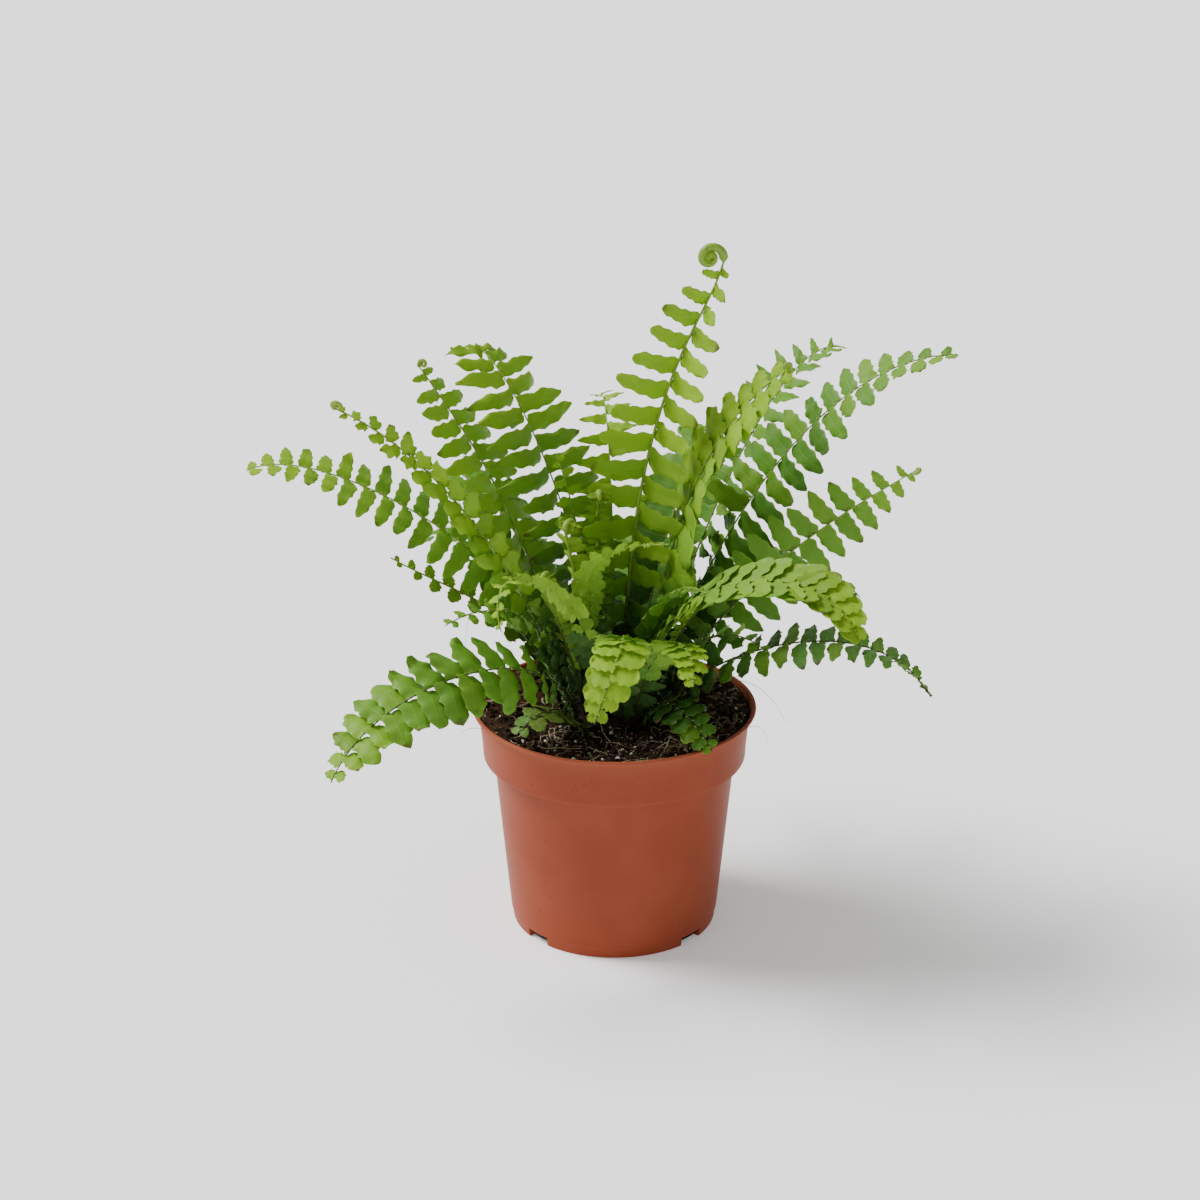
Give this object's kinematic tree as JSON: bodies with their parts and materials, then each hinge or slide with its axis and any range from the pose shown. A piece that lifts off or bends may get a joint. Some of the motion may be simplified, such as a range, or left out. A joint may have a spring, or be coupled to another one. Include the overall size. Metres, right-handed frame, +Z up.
{
  "type": "potted fern",
  "caption": "Young sword fern with arching and upright pinnate fronds and coiled new shoots, growing in soil in a round terracotta-coloured plastic nursery pot.",
  "frame": {"origin": "on the pot's axis, at the flat underside that the pot stands on", "axes": "+Z up along the pot's axis; -Y towards the viewer of the picture; +X to the viewer's right"},
  "size_m": [0.2912, 0.2229, 0.2912],
  "materials": {
    "terracotta_plastic": "satin",
    "potting_soil": "matte",
    "scaly_crown": "matte",
    "frond_dark": "satin",
    "frond_mid": "satin",
    "frond_light": "satin",
    "frond_yellow": "satin"
  },
  "bodies": {
    "root": {"pot": "terracotta_plastic", "soil": "potting_soil", "crown": "scaly_crown", "frond_left_long": "frond_mid", "frond_left_upper": "frond_mid", "frond_tall_light": "frond_light", "frond_tall_dark": "frond_dark", "frond_back_light": "frond_light", "frond_tall_coil": "frond_mid", "frond_right_young": "frond_light", "frond_right_back": "frond_mid", "frond_right_long": "frond_dark", "frond_right_mid": "frond_mid", "frond_right_thin": "frond_mid", "frond_right_low": "frond_mid", "frond_front_right": "frond_light", "frond_front_centre": "frond_yellow", "frond_front_low": "frond_yellow", "frond_front_left": "frond_yellow", "frond_front_arch": "frond_yellow", "frond_left_low": "frond_mid", "frond_left_thin": "frond_mid", "frond_rim_right": "frond_mid", "frond_soil_left": "frond_mid", "frond_inner_left": "frond_dark", "frond_inner_right": "frond_dark", "frond_inner_front": "frond_dark", "frond_inner_middle": "frond_dark", "frond_back_right_high": "frond_mid", "frond_back_right_low": "frond_mid", "frond_back_middle": "frond_mid", "frond_back_left_high": "frond_mid", "frond_back_left_low": "frond_dark", "frond_back_side": "frond_mid", "crozier_left": "frond_yellow", "crozier_low": "frond_yellow", "crozier_middle": "frond_mid", "crozier_right": "frond_yellow"}
  },
  "joints": []
}
